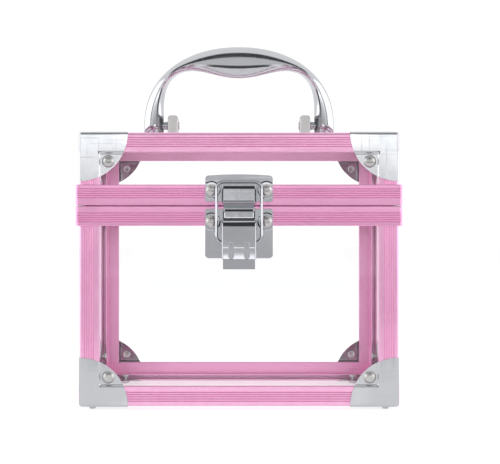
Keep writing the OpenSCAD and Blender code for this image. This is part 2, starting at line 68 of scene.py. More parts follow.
rail_low, rail_high = node_box("body_rail_front")
LEFT, RIGHT = rail_low.x, rail_high.x
FRONT, BOTTOM = rail_low.y, rail_low.z
LEG = rail_high.z - rail_low.z
REAR = node_box("body_rail_rear")[1].y
TOP = node_box("lid_rail_front")[1].z
MID_Y = (FRONT + REAR) / 2
MID_Z = (BOTTOM + TOP) / 2
body_band_low, body_band_high = node_box("body_band_front")
lid_band_low, lid_band_high = node_box("lid_band_front")
PROUD = FRONT - body_band_low.y
BAND_FACE = body_band_low.y
BODY_POST_TOP = node_box("body_post_front_left")[1].z
LID_POST_LOW = node_box("lid_post_front_left")[0].z
LIP_H = 2.4
SPLIT = (body_band_high.z - LIP_H + lid_band_low.z) / 2
CENTRE, ORIGIN = (0, MID_Y, MID_Z), (0, 0, 0)
RIDES_ON = {"body": "case", "lid": "lid"}
print("case", RIGHT - LEFT, REAR - FRONT, TOP - BOTTOM, "split at", round(SPLIT, 2))

# %% [markdown]
# ## Camera
# A long lens stands level with the lower half of the lid, straight in front. The small
# shift moves the picture sideways and down without tilting the lens, so that the posts
# stay upright.

# %% Set up the camera
camera = bpy.data.objects.new("camera", bpy.data.cameras.new("camera"))
bpy.context.scene.collection.objects.link(camera)
bpy.context.scene.camera = camera
camera.location = (0, -0.957, 0.1283)
camera.rotation_euler = (math.pi / 2, 0, 0)
camera.data.lens = 97
camera.data.sensor_width = 36
camera.data.shift_x = 0.022
camera.data.shift_y = -0.034
bpy.context.scene.view_settings.view_transform = "Standard"
print("camera lens", camera.data.lens, "mm")

# %% [markdown]
# ## Selecting and drawing
# Every piece is drawn as by hand: a primitive is shaped in edit mode and finished with
# modifiers. These helpers select one object, pick out faces or edges by their place and
# normal, and draw a line of edges point by point, which is the start of every section.

# %% Helpers for edit mode
def pick(obj):
    """Makes one object the only selected one, and the active one."""
    bpy.ops.object.select_all(action="DESELECT")
    obj.select_set(True)
    bpy.context.view_layer.objects.active = obj


def edit(obj):
    """Opens an object in edit mode with all of it selected."""
    pick(obj)
    bpy.ops.object.mode_set(mode="EDIT")
    bpy.ops.mesh.select_mode(type="VERT")
    bpy.ops.mesh.select_all(action="SELECT")


def leave_edit():
    bpy.ops.object.mode_set(mode="OBJECT")


def choose(obj, kind, test):
    """In edit mode, selects the faces or edges that pass test(middle, direction)."""
    bpy.ops.mesh.select_mode(type=kind)
    bpy.ops.mesh.select_all(action="DESELECT")
    leave_edit()
    mesh = obj.data
    if kind == "FACE":
        for face in mesh.polygons:
            face.select = test(face.center / MM, face.normal)
    else:
        for edge in mesh.edges:
            a, b = (mesh.vertices[i].co / MM for i in edge.vertices)
            edge.select = test((a + b) / 2, (b - a).normalized())
    bpy.ops.object.mode_set(mode="EDIT")


def extrude(way):
    """In edit mode, extrudes what is selected along a vector."""
    bpy.ops.mesh.extrude_region_move(TRANSFORM_OT_translate={"value": Vector(way) * MM})


def round_edges(width, segments=5, **settings):
    """In edit mode, rounds the selected edges."""
    bpy.ops.mesh.bevel(offset=width * MM, segments=segments, affect="EDGES", **settings)


def face_outwards():
    """In edit mode, closes doubled points and turns every face outwards."""
    bpy.ops.mesh.select_all(action="SELECT")
    bpy.ops.mesh.remove_doubles(threshold=0.01 * MM)
    bpy.ops.mesh.normals_make_consistent(inside=False)


def trace(name, points, fill=True):
    """Draws a line of edges through points, and fills it if it is an outline."""
    bpy.ops.object.select_all(action="DESELECT")
    bpy.ops.mesh.primitive_plane_add(size=MM)
    obj = bpy.context.object
    obj.name = obj.data.name = name
    bpy.ops.object.mode_set(mode="EDIT")
    bpy.ops.mesh.select_mode(type="VERT")
    bpy.ops.mesh.select_all(action="SELECT")
    bpy.ops.mesh.merge(type="CENTER")
    bpy.ops.transform.translate(value=Vector(points[0]) * MM)
    for here, there in zip(points, points[1:]):
        extrude(Vector(there) - Vector(here))
    if fill:
        bpy.ops.mesh.select_all(action="SELECT")
        bpy.ops.mesh.edge_face_add()
    leave_edit()
    return obj


def pull(obj, way):
    """Extrudes all of an object along a vector."""
    edit(obj)
    extrude(way)
    face_outwards()
    leave_edit()
    return obj


def cut(obj, point, normal, fill=True):
    """Removes what lies beyond a plane, on the side that its normal points to."""
    edit(obj)
    bpy.ops.mesh.bisect(plane_co=Vector(point) * MM, plane_no=normal, use_fill=fill, clear_outer=True)
    leave_edit()


def block(name, low, high):
    """A plain box between two corners."""
    bpy.ops.object.select_all(action="DESELECT")
    bpy.ops.mesh.primitive_cube_add(size=1, location=(low + high) / 2 * MM, scale=(high - low) * MM)
    obj = bpy.context.object
    obj.name = obj.data.name = name
    bpy.ops.object.transform_apply(location=True, rotation=True, scale=True)
    return obj


def slide(obj, way):
    """Moves all of a piece."""
    edit(obj)
    bpy.ops.transform.translate(value=Vector(way) * MM)
    leave_edit()


def modify(obj, kind, **settings):
    """Adds a modifier, sets it and applies it."""
    pick(obj)
    bpy.ops.object.modifier_add(type=kind)
    modifier = obj.modifiers[-1]
    for name, value in settings.items():
        setattr(modifier, name, value)
    bpy.ops.object.modifier_apply(modifier=modifier.name)


def soften(obj, width, angle=35, segments=2):
    """Rounds the sharp edges of a piece, as tumbling or polishing does."""
    modify(obj, "BEVEL", width=width * MM, segments=segments, limit_method="ANGLE",
           angle_limit=math.radians(angle), harden_normals=False)


def join(name, parts):
    """Makes one piece of several."""
    bpy.ops.object.select_all(action="DESELECT")
    for part in parts:
        part.select_set(True)
    bpy.context.view_layer.objects.active = parts[0]
    bpy.ops.object.join()
    parts[0].name = parts[0].data.name = name
    return parts[0]


def place_copy(source, name, flip=(1, 1, 1), about=CENTRE, shift=ORIGIN):
    """Copies a piece with its own mesh, mirrored about a point and then moved."""
    pick(source)
    bpy.ops.object.duplicate()
    twin = bpy.context.object
    twin.name = twin.data.name = name
    edit(twin)
    bpy.ops.transform.resize(value=flip, center_override=Vector(about) * MM)
    bpy.ops.transform.translate(value=Vector(shift) * MM)
    if flip[0] * flip[1] * flip[2] < 0:
        bpy.ops.mesh.normals_make_consistent(inside=False)
    leave_edit()
    return twin


def finish_piece(obj, body, slot, material, *nodes, smooth=30):
    """Puts a piece's place in its mesh and gives it its finish, its body and its stand-in."""
    pick(obj)
    bpy.ops.object.transform_apply(location=True, rotation=True, scale=True)
    bpy.ops.object.shade_smooth_by_angle(angle=math.radians(smooth))
    modify(obj, "WEIGHTED_NORMAL", keep_sharp=True, weight=70)
    obj.data.materials.clear()
    obj.data.materials.append(material)
    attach(obj, body)
    if nodes:
        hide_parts(*nodes)
    print("made", obj.name, len(obj.data.polygons), "faces, rides on", body)
    return obj


print("helpers ready")

# %% [markdown]
# ## Floor, backdrop and light
# Bright metal shows what stands around it. The studio is a white room with a low strip
# of light in front, a softbox at each side, a lamp overhead and a pale floor. A few dark
# and grey cards, which only reflections see, draw the lines that make chrome look like
# chrome. Room and floor look brighter than the light that they give. Small helpers build
# the node trees, here and for the finishes below.

# %% Helpers for node trees
def feed(tree, node, inputs):
    """Links each named or numbered input of a node to a socket, or sets it to a value."""
    for name, value in inputs.items():
        if isinstance(value, bpy.types.NodeSocket):
            tree.links.new(value, node.inputs[name])
        else:
            node.inputs[name].default_value = value


def add_node(tree, kind, inputs=None, **settings):
    """Adds a node, sets its properties and feeds its inputs."""
    made = tree.nodes.new(kind)
    for name, value in settings.items():
        setattr(made, name, value)
    feed(tree, made, inputs or {})
    return made


def reckon(tree, operation, *values):
    """The result of one operation on sockets and numbers."""
    return add_node(tree, "ShaderNodeMath", dict(enumerate(values)), operation=operation).outputs[0]


def between(tree, value, low, high):
    """A value from 0 to 1, turned into one from low to high."""
    return add_node(tree, "ShaderNodeMapRange", {"Value": value, "To Min": low, "To Max": high}).outputs["Result"]


def in_sight(tree):
    """1 for rays that show a thing: straight, mirrored or through a sheet."""
    rays = add_node(tree, "ShaderNodeLightPath").outputs
    seen = reckon(tree, "MAXIMUM", rays["Is Camera Ray"], rays["Is Glossy Ray"])
    return reckon(tree, "MAXIMUM", seen, rays["Is Transmission Ray"])


def blank_material(name):
    """A material with nothing in its node tree yet, and that tree."""
    made = bpy.data.materials.new(name)
    made.use_nodes = True
    made.node_tree.nodes.clear()
    return made, made.node_tree


print("node helpers ready")

# %% White room
ROOM_GIVES, ROOM_LOOKS = 0.55, 1.1
scene = bpy.context.scene
scene.world = bpy.data.worlds.new("white_room")
scene.world.use_nodes = True
tree = scene.world.node_tree
feed(tree, tree.nodes["Background"],
     {"Color": (1, 1, 1, 1), "Strength": between(tree, in_sight(tree), ROOM_GIVES, ROOM_LOOKS)})
print("room lit at", ROOM_GIVES)


# %% Cards and softboxes
def card(name, strength, corner, across, up, only_reflected=True):
    """A flat glowing sheet: a softbox if it is bright, a flag if it is dark."""
    corner, across, up = Vector(corner), Vector(across), Vector(up)
    obj = trace(name, [p / MM for p in (corner, corner + across, corner + across + up, corner + up)])
    paint, tree = blank_material(name)
    glow = add_node(tree, "ShaderNodeEmission", {"Strength": strength})
    add_node(tree, "ShaderNodeOutputMaterial", {"Surface": glow.outputs[0]})
    obj.data.materials.append(paint)
    obj.visible_camera = obj.visible_shadow = obj.visible_transmission = False
    obj.visible_diffuse = not only_reflected


card("softbox_front", 2.4, (-1.7, -2.3, 0.25), (3.4, 0, 0), (0, 0, 0.22), only_reflected=False)
card("grey_low", 0.9, (-1.35, -2.3, 0.0), (2.7, 0, 0), (0, 0, 0.25))
card("grey_front", 0.8, (-1.35, -2.3, 0.47), (2.7, 0, 0), (0, 0.55, 1.18))
card("flag_left", 0.12, (-1.7, -1.85, 0.0), (0.05, 0.3, 0), (0, 0, 1.6))
card("flag_right", 0.12, (1.7, -1.85, 0.0), (-0.05, 0.3, 0), (0, 0, 1.6))
card("softbox_left", 2.2, (-1.7, -1.5, 0.02), (0, 2.2, 0), (0, 0, 1.3), only_reflected=False)
card("softbox_right", 2.2, (1.7, -1.5, 0.02), (0, 2.2, 0), (0, 0, 1.3), only_reflected=False)
card("flag_top_front", 0.08, (-1.3, -1.72, 1.66), (2.6, 0, 0), (0, 0.85, 0.2))
card("flag_floor_front", 0.1, (-1.2, -1.9, 0.003), (2.4, 0, 0), (0, 1.45, 0))
print("cards set")

# %% Lamp and floor
LAMP_AIM = Vector((0, 0, 0.1))
lamp = bpy.data.objects.new("overhead_softbox", bpy.data.lights.new("overhead_softbox", "AREA"))
scene.collection.objects.link(lamp)
lamp.data.shape = "RECTANGLE"
lamp.data.size, lamp.data.size_y = 1.6, 1.4
lamp.data.energy = 7
lamp.visible_glossy = False
lamp.location = (-0.25, -0.35, 1.6)
lamp.rotation_euler = (lamp.location - LAMP_AIM).to_track_quat("Z", "Y").to_euler()

bpy.ops.object.select_all(action="DESELECT")
bpy.ops.mesh.primitive_plane_add(size=9)
floor = bpy.context.object
floor.name = "floor"
paint, tree = blank_material("pale_floor")
matt = add_node(tree, "ShaderNodeBsdfDiffuse", {"Color": (0.5, 0.5, 0.505, 1)})
glow = add_node(tree, "ShaderNodeEmission", {"Strength": reckon(tree, "MULTIPLY", in_sight(tree), 0.74)})
both = add_node(tree, "ShaderNodeAddShader", {0: matt.outputs[0], 1: glow.outputs[0]})
add_node(tree, "ShaderNodeOutputMaterial", {"Surface": both.outputs[0]})
floor.data.materials.append(paint)
print("floor and lamp ready")

# %% [markdown]
# ## Finishes
# Metals differ less in colour than in how they are worked: drawn and brushed, pressed
# and plated, or polished. Four effects are shared between them as node groups: a grain
# of fine parallel lines, hairline scratches, a film of handling marks, and worn edges.
# Each group reads the piece's own coordinates, so the pattern stays on it as it moves.


# %% Helpers for node groups
def new_group(name, **inputs):
    """A node group that takes numbers and vectors, and the sockets that bring them in."""
    tree = bpy.data.node_groups.new(name, "ShaderNodeTree")
    for label, value in inputs.items():
        kind = "NodeSocketVector" if isinstance(value, tuple) else "NodeSocketFloat"
        tree.interface.new_socket(label, in_out="INPUT", socket_type=kind).default_value = value
    return tree, tree.nodes.new("NodeGroupInput").outputs


def end_group(tree, **results):
    """Gives a group its outputs, each from a socket."""
    for label in results:
        tree.interface.new_socket(label, in_out="OUTPUT", socket_type="NodeSocketFloat")
    add_node(tree, "NodeGroupOutput", results)
    print("group", tree.name)


def own_place(tree):
    return add_node(tree, "ShaderNodeTexCoord").outputs["Object"]


def noise(tree, place, **inputs):
    return add_node(tree, "ShaderNodeTexNoise", {"Vector": place, **inputs}).outputs["Fac"]


def spread(tree, value, low, high):
    """A value from low to high, turned into one from 0 to 1."""
    return add_node(tree, "ShaderNodeMapRange", {"Value": value, "From Min": low, "From Max": high}).outputs["Result"]


# %% Group: grain of drawn or brushed metal
grain, given = new_group("metal_grain", Stretch=(60, 2200, 2200), Depth=0.5)
stretched = add_node(grain, "ShaderNodeVectorMath", {0: own_place(grain), 1: given["Stretch"]}, operation="MULTIPLY")
lines = noise(grain, stretched.outputs[0], Scale=1.0, Detail=4.0, Roughness=0.65)
shade = spread(grain, lines, 0.3, 0.7)
end_group(grain, Shade=shade, Height=reckon(grain, "MULTIPLY", shade, given["Depth"]))

# %% Group: hairline scratches
scratch, given = new_group("hairlines", Scale=1.0, Amount=0.5)
masks = []
for angle, stretch in ((0.5, (900, 24, 30)), (-0.9, (30, 1100, 26)), (1.9, (28, 22, 1000))):
    turned = add_node(scratch, "ShaderNodeMapping", {
        "Vector": own_place(scratch), "Rotation": (angle, angle * 0.7, angle * 1.3), "Scale": stretch})
    marks = noise(scratch, turned.outputs[0], Scale=given["Scale"], Detail=1.0)
    masks.append(spread(scratch, marks, 0.66, 0.72))
hairs = reckon(scratch, "MAXIMUM", reckon(scratch, "MAXIMUM", masks[0], masks[1]), masks[2])
end_group(scratch, Mask=reckon(scratch, "MULTIPLY", hairs, given["Amount"]))

# %% Group: handling marks
film, given = new_group("handling_marks", Scale=60.0, Amount=0.5)
cloud = noise(film, own_place(film), Scale=given["Scale"], Detail=3.0, Roughness=0.6)
end_group(film, Mask=reckon(film, "MULTIPLY", spread(film, cloud, 0.45, 0.75), given["Amount"]))

# %% Group: bright edges, where handling rubs the finish off the corners
wear, given = new_group("edge_wear", Amount=0.5)
edges = spread(wear, add_node(wear, "ShaderNodeNewGeometry").outputs["Pointiness"], 0.53, 0.62)
broken = reckon(wear, "MULTIPLY", edges, noise(wear, own_place(wear), Scale=220.0, Detail=3.0))
end_group(wear, Mask=reckon(wear, "MULTIPLY", broken, given["Amount"]))


# %% [markdown]
# ### Metals
# One function builds every metal from the same parts: a base colour that the grain and
# the worn edges shift a little, a roughness that grain, scratches and handling marks
# raise, and a bump from the grain.

# %% Build a metal
def use_group(tree, group, **inputs):
    return add_node(tree, "ShaderNodeGroup", inputs, node_tree=group).outputs


def metal(name, colour, worn, rough, stretch, grain_shade=0.06, grain_depth=0.4, edge=0.5,
          marks=0.08, lines=0.1):
    """A worked metal. colour and worn are linear; stretch says which way its grain runs."""
    made = bpy.data.materials.new(name)
    made.use_nodes = True
    tree = made.node_tree
    run = use_group(tree, grain, Stretch=stretch, Depth=grain_depth)
    hair = use_group(tree, scratch, Scale=1.0, Amount=lines)
    touched = use_group(tree, film, Scale=45.0, Amount=marks)
    rubbed = use_group(tree, wear, Amount=edge)
    shade = between(tree, run["Shade"], 1 - grain_shade, 1 + grain_shade)
    tinted = add_node(tree, "ShaderNodeVectorMath", {0: colour[:3], "Scale": shade}, operation="SCALE")
    blended = add_node(tree, "ShaderNodeMix", {"Factor": rubbed["Mask"], "A": tinted.outputs[0], "B": worn},
                       data_type="RGBA")
    rough_grain = between(tree, run["Shade"], rough * 0.85, rough * 1.15)
    rough_hair = reckon(tree, "ADD", rough_grain, hair["Mask"])
    bump = add_node(tree, "ShaderNodeBump", {"Height": run["Height"], "Distance": 0.00002, "Strength": 0.35})
    feed(tree, tree.nodes["Principled BSDF"], {
        "Metallic": 1.0, "Base Color": blended.outputs["Result"],
        "Roughness": reckon(tree, "ADD", rough_hair, touched["Mask"]), "Normal": bump.outputs["Normal"]})
    return made


PINK, PINK_WORN = (0.80, 0.375, 0.60, 1), (0.88, 0.62, 0.76, 1)
ALONG = {"x": (6, 3200, 3200), "y": (3200, 6, 3200), "z": (3200, 3200, 6)}
pink = {way: metal("pink_anodised_" + way, PINK, PINK_WORN, 0.3, ALONG[way], grain_shade=0.03, grain_depth=0.06)
        for way in "xyz"}
nickel = metal("plated_corner_steel", (0.47, 0.48, 0.50, 1), (0.7, 0.7, 0.71, 1), 0.13, (260, 260, 260),
               grain_shade=0.015, grain_depth=0.04, marks=0.06, lines=0.08)
chrome = metal("polished_chrome", (0.41, 0.42, 0.445, 1), (0.75, 0.75, 0.76, 1), 0.06, (180, 180, 180),
               grain_shade=0.015, grain_depth=0.1, edge=0.2, marks=0.03, lines=0.05)
plating = metal("plated_zinc_casting", (0.53, 0.54, 0.565, 1), (0.72, 0.72, 0.73, 1), 0.13, (150, 150, 150),
                grain_shade=0.01, grain_depth=0.03, edge=0.2, marks=0.03, lines=0.04)
satin = metal("satin_rivet_steel", (0.47, 0.465, 0.46, 1), (0.68, 0.67, 0.66, 1), 0.3, (700, 700, 700),
              grain_shade=0.05, grain_depth=0.5)
zinc = metal("zinc_hinge_steel", (0.55, 0.56, 0.58, 1), (0.68, 0.68, 0.69, 1), 0.26, (1500, 90, 90),
             grain_shade=0.08, grain_depth=0.5, marks=0.1, lines=0.15)
print("metals ready")

# %% [markdown]
# ### Clear acrylic
# A clear sheet hardly darkens what lies behind it. It lets nearly all light straight
# through and mirrors a few hundredths of it, more towards its edge-on view. Facing is
# the same from both sides of a face, which keeps the inner faces of the sheet quiet.

# %% Build the acrylic
acrylic, tree = blank_material("clear_acrylic_sheet")
through = add_node(tree, "ShaderNodeBsdfTransparent", {"Color": (0.996, 0.998, 0.998, 1)})
touched = use_group(tree, film, Scale=22.0, Amount=0.05)
mirror = add_node(tree, "ShaderNodeBsdfGlossy",
                  {"Color": (1, 1, 1, 1), "Roughness": reckon(tree, "ADD", touched["Mask"], 0.02)})
facing = add_node(tree, "ShaderNodeLayerWeight", {"Blend": 0.5})
share = between(tree, reckon(tree, "POWER", facing.outputs["Facing"], 5.0), 0.02, 0.35)
mixed = add_node(tree, "ShaderNodeMixShader", {"Fac": share, 1: through.outputs[0], 2: mirror.outputs[0]})
add_node(tree, "ShaderNodeOutputMaterial", {"Surface": mixed.outputs[0]})


def repaint(node, material):
    """Gives a part of the frame, which is shown as it is, its finish."""
    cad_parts[node].data.materials.clear()
    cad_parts[node].data.materials.append(material)


for name in [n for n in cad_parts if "panel" in n]:
    repaint(name, acrylic)
print("acrylic on the panels")

# %% [markdown]
# ## Ribbed extrusions
# Aluminium is pushed through a die, so a rail is one section pulled along its length.
# The section is drawn point by point, with its outer corner at the origin: two legs,
# a slot in each for a panel, and soft grooves on the outer faces.


# %% Draw the sections
def rounded(corners, steps=4):
    """Points of an outline, from (u, v, radius) corners with an arc at each."""
    points = []
    for i, (u, v, radius) in enumerate(corners):
        here = Vector((u, v))
        if not radius:
            points.append(here)
            continue
        back = (Vector(corners[i - 1][:2]) - here).normalized()
        onward = (Vector(corners[(i + 1) % len(corners)][:2]) - here).normalized()
        half = back.angle(onward) / 2
        reach = radius / math.tan(half)
        middle = here + (back + onward).normalized() * radius / math.sin(half)
        start, end = here + back * reach - middle, here + onward * reach - middle
        first = math.atan2(start.y, start.x)
        sweep = (math.atan2(end.y, end.x) - first + math.pi) % (2 * math.pi) - math.pi
        for k in range(steps + 1):
            turn = first + sweep * k / steps
            points.append(middle + Vector((math.cos(turn), math.sin(turn))) * radius)
    return points


WALL, FRAME_T, SLOT_LOW, SLOT_HIGH, SLOT_END = 1.4, 4.95, 1.35, 3.95, 7.8
GROOVES, PITCH, GROOVE_W, GROOVE_D = 5, 1.45, 0.86, 0.34


def groove_points(middle, steps=6):
    """(u, v) points of the soft grooves along v, cut into the face u = 0."""
    points = []
    for i in range(GROOVES):
        centre = middle + (i - (GROOVES - 1) / 2) * PITCH
        for k in range(steps + 1):
            across = k / steps - 0.5
            depth = GROOVE_D * (0.5 + 0.5 * math.cos(2 * math.pi * across))
            points.append((depth, centre + across * GROOVE_W, 0))
    return points


def rail_section():
    """An L with its outer corner at (0, 0): grooved outside, slotted for a panel."""
    leg = groove_points(LEG / 2 - 0.2)
    leg += [(0, LEG, 0.4), (SLOT_LOW, LEG, 0.25), (SLOT_LOW, FRAME_T, 0), (SLOT_HIGH, FRAME_T, 0),
            (SLOT_HIGH, LEG, 0.3), (FRAME_T, LEG, 0.3)]
    other_leg = [(v, u, radius) for u, v, radius in reversed(leg)]
    return rounded([(0, 0, 1.8)] + leg + [(FRAME_T, FRAME_T, 0.5)] + other_leg)


def band_section(height, lip):
    """A closing band; u runs inwards from its face and v from its open edge to the split."""
    slot_low, slot_high = PROUD + SLOT_LOW, PROUD + SLOT_HIGH
    thick = PROUD + FRAME_T
    face = [(0, 0, 0.7)] + groove_points(5.7) + [(0, height, 0.7)]
    if lip:
        inside = [(thick - 1.2, height, 0), (thick - 1.2, height + LIP_H, 0.3), (thick, height + LIP_H, 0.3)]
    else:
        seat = height - LIP_H - 0.5
        inside = [(thick - 1.7, height, 0.2), (thick - 1.7, seat, 0), (thick, seat, 0.2)]
    panel_slot = [(slot_high, 0, 0.3), (slot_high, SLOT_END, 0), (slot_low, SLOT_END, 0), (slot_low, 0, 0.3)]
    return rounded(face + inside + [(thick, 0, 0.3)] + panel_slot)


print("rail section of", len(rail_section()), "points")

# %% [markdown]
# Rails and bands meet at mitres, cut at 45 degrees through the corner. One front rail
# and one side rail are modelled, and the others are mirrored copies. A pull along the
# front runs in x; a pull along a side runs in y.


# %% Mitred sides
def bar(name, section, side, proud, start, way):
    """A front or left bar, with its section's v axis running up or down from height start."""
    if side == "front":
        outline = [(LEFT - proud, FRONT - proud + u, start + way * v) for u, v in section]
        obj = pull(trace(name, outline), (RIGHT - LEFT + 2 * proud, 0, 0))
        cut(obj, (LEFT - proud, FRONT - proud, 0), (-1, 1, 0))
        cut(obj, (RIGHT + proud, FRONT - proud, 0), (1, 1, 0))
    else:
        outline = [(LEFT - proud + u, FRONT - proud, start + way * v) for u, v in section]
        obj = pull(trace(name, outline), (0, REAR - FRONT + 2 * proud, 0))
        cut(obj, (LEFT - proud, FRONT - proud, 0), (1, -1, 0))
        cut(obj, (LEFT - proud, REAR + proud, 0), (1, 1, 0))
    return obj


bars = {}
body_band = band_section(body_band_high.z - LIP_H - body_band_low.z, lip=True)
lid_band = band_section(lid_band_high.z - lid_band_low.z, lip=False)
for side in ("front", "left"):
    bars["body_rail_" + side] = bar("bottom_rail_" + side, rail_section(), side, 0, BOTTOM, 1)
    bars["lid_rail_" + side] = place_copy(bars["body_rail_" + side], "top_rail_" + side, flip=(1, 1, -1))
    bars["body_band_" + side] = bar("body_band_bar_" + side, body_band, side, PROUD, body_band_low.z, 1)
    bars["lid_band_" + side] = bar("lid_band_bar_" + side, lid_band, side, PROUD, lid_band_high.z, -1)
print(len(bars), "bars")

# %% [markdown]
# The bands' upright corners are eased by hand with a file. Five flat cuts, each
# touching the same small circle, do that on each end before the copies are made.

# %% Ease the corners of the bands, then mirror every bar
EASE = 2.0
for name, obj in bars.items():
    if "band" not in name:
        continue
    for end_x, end_y in ((LEFT - PROUD, FRONT - PROUD), (RIGHT + PROUD, FRONT - PROUD),
                         (LEFT - PROUD, REAR + PROUD)):
        inward = Vector((1 if end_x < 0 else -1, 1 if end_y < MID_Y else -1, 0))
        middle = Vector((end_x, end_y, 0)) + inward * EASE
        for step in range(1, 6):
            angle = math.radians(step * 15)
            away = Vector((-inward.x * math.cos(angle), -inward.y * math.sin(angle), 0))
            cut(obj, middle + away * EASE, away)
for name in list(bars):
    half, part, side = name.split("_")
    other, flip = ("rear", (1, -1, 1)) if side == "front" else ("right", (-1, 1, 1))
    bars[f"{half}_{part}_{other}"] = place_copy(bars[name], bars[name].name.replace(side, other), flip=flip)
for name, obj in bars.items():
    half, part, side = name.split("_")
    finish_piece(obj, RIDES_ON[half], "pink_aluminium", pink["x" if side in ("front", "rear") else "y"], name)

# %% Posts
SIGNS = {"front_left": (1, 1), "front_right": (-1, 1), "rear_right": (-1, -1), "rear_left": (1, -1)}
outline = [(LEFT + u, FRONT + v, BOTTOM + LEG) for u, v in rail_section()]
body_post = pull(trace("body_post_bar_front_left", outline), (0, 0, BODY_POST_TOP - BOTTOM - LEG))
outline = [(LEFT + u, FRONT + v, LID_POST_LOW) for u, v in rail_section()]
lid_post = pull(trace("lid_post_bar_front_left", outline), (0, 0, TOP - LEG - LID_POST_LOW))


def at_corners(pieces, slot, material, node, smooth=30):
    """Mirrors the front left piece of each half to the other corners, and finishes all eight."""
    for corner, (sx, sy) in SIGNS.items():
        for half, first in pieces.items():
            piece = first
            if corner != "front_left":
                piece = place_copy(first, first.name.replace("front_left", corner), flip=(sx, sy, 1))
            finish_piece(piece, RIDES_ON[half], slot, material, f"{half}_{node}_{corner}", smooth=smooth)


at_corners({"body": body_post, "lid": lid_post}, "pink_aluminium", pink["z"], "post")

# %% [markdown]
# ## Corner plates
# Each corner is closed by a thin steel pressing over three faces. It starts as a cube
# with three faces kept. Two cuts across each face mark the step, the inner square is
# sunk onto the panel, flat cuts round a circle give the plate its outline, and a bevel
# rounds the outer edges. A Solidify modifier then gives the sheet its thickness.

# %% Press one corner plate
SHEET, STEP_START, STEP_END = 0.6, LEG - 0.3, LEG + 1.1
CAP_R = node_box("body_corner_front_left")[1].x - LEFT
corner_at = Vector((LEFT, FRONT, BOTTOM))
outer_corner = corner_at - Vector((SHEET,) * 3)


def press_corner(name):
    """The plate of the front left bottom corner, drawn around its corner point."""
    obj = block(name, outer_corner, outer_corner + Vector((1, 1, 1)) * (CAP_R + 4))
    edit(obj)
    choose(obj, "FACE", lambda middle, normal: max(normal) > 0.5)
    bpy.ops.mesh.delete(type="FACE")
    for axis in range(3):
        for depth in (STEP_START, STEP_END):
            bpy.ops.mesh.select_all(action="SELECT")
            point = corner_at.copy()
            point[axis] += depth
            bpy.ops.mesh.bisect(plane_co=point * MM, plane_no=[1 if i == axis else 0 for i in range(3)])
    for axis in range(3):
        others = [i for i in range(3) if i != axis]
        choose(obj, "FACE", lambda middle, normal: normal[axis] < -0.5
               and all((middle - corner_at)[i] > STEP_END for i in others))
        sink = [0, 0, 0]
        sink[axis] = (WALL - 0.04) * MM
        bpy.ops.transform.translate(value=sink)
    leave_edit()
    steps = 18
    for axis in range(3):
        u, v = [i for i in range(3) if i != axis]
        for k in range(steps + 1):
            angle = math.pi / 2 * k / steps
            normal = Vector((0, 0, 0))
            normal[u], normal[v] = math.cos(angle), math.sin(angle)
            cut(obj, corner_at + normal * CAP_R, normal, fill=False)
    return obj


cap = press_corner("corner_plate_body_front_left")
print("corner pressed,", len(cap.data.polygons), "faces")

# %% Round its edges and give it thickness
edit(cap)
choose(cap, "EDGE", lambda middle, way: sum(abs(c) < 0.05 for c in middle - outer_corner) == 2)
round_edges(2.3)
bpy.ops.mesh.select_all(action="DESELECT")
bpy.ops.mesh.select_mode(type="EDGE")
bpy.ops.mesh.edges_select_sharp(sharpness=math.radians(24))
round_edges(0.5, 3)
leave_edit()
modify(cap, "SOLIDIFY", thickness=(SHEET - 0.02) * MM, offset=-1, use_even_offset=True)
soften(cap, 0.18, angle=60)
print("plate", len(cap.data.polygons), "faces")


# %% Turned pieces
def lathe(name, profile, at=(0, 0, 0), steps=32):
    """Spins a profile of (radius, height) points about the upright axis at a point."""
    obj = trace(name, [(r, 0, z) for r, z in profile], fill=False)
    edit(obj)
    bpy.ops.mesh.spin(steps=steps, angle=2 * math.pi, center=(0, 0, 0), axis=(0, 0, 1))
    face_outwards()
    bpy.ops.mesh.select_all(action="SELECT")
    bpy.ops.transform.translate(value=Vector(at) * MM)
    leave_edit()
    return obj


FOOT_IN = 8
foot = lathe("foot", [(0, 0), (1.3, 0), (1.75, 0.12), (2.1, 0.45), (2.6, 1.3), (3.1, 1.75),
                      (3.9, 1.98), (3.9, 2.3), (0, 2.3)], at=(LEFT + FOOT_IN, FRONT + FOOT_IN, 0))
lid_cap = place_copy(cap, "corner_plate_lid_front_left", flip=(1, 1, -1))
cap = join("corner_plate_body_front_left", [cap, foot])
at_corners({"body": cap, "lid": lid_cap}, "corner_plate", nickel, "corner", smooth=24)

# %% [markdown]
# ## Rivets
# Tubular rivets hold the plates: a domed head outside and a rolled, hollow end inside,
# which shows through the clear panels. One rivet is turned on the lathe, copied to
# every hole, and each node's rivets are joined into one piece.

# %% Turn one rivet and set it into the corners
HEAD_R, HEAD_H, GRIP = 4.2, 2.2, 3.1
dome_r = (HEAD_R ** 2 + HEAD_H ** 2) / (2 * HEAD_H)
dome = [(dome_r * math.sin(a), HEAD_H - dome_r + dome_r * math.cos(a))
        for a in (math.asin(HEAD_R / dome_r) * k / 8 for k in range(9))]
tail = [(HEAD_R - 0.05, -0.1), (1.6, -0.1), (1.6, -GRIP), (2.55, -GRIP), (2.8, -GRIP - 0.3), (2.7, -GRIP - 0.85),
        (2.25, -GRIP - 1.2), (1.65, -GRIP - 1.1), (1.15, -GRIP - 0.6), (1.05, -GRIP + 0.6), (0, -GRIP + 0.7)]
rivet = lathe("rivet", dome + tail, steps=28)


def turn(obj, angle, axis):
    """Rotates all of a piece about an axis through the origin; the operator turns the other way."""
    edit(obj)
    bpy.ops.transform.rotate(value=-math.radians(angle), orient_axis=axis, center_override=ORIGIN)
    leave_edit()


def set_rivet(source, name, place, flip=(1, 1, 1)):
    """A copy of a rivet that stands at the origin, moved to its place."""
    return place_copy(source, name, flip=flip, about=ORIGIN, shift=place)


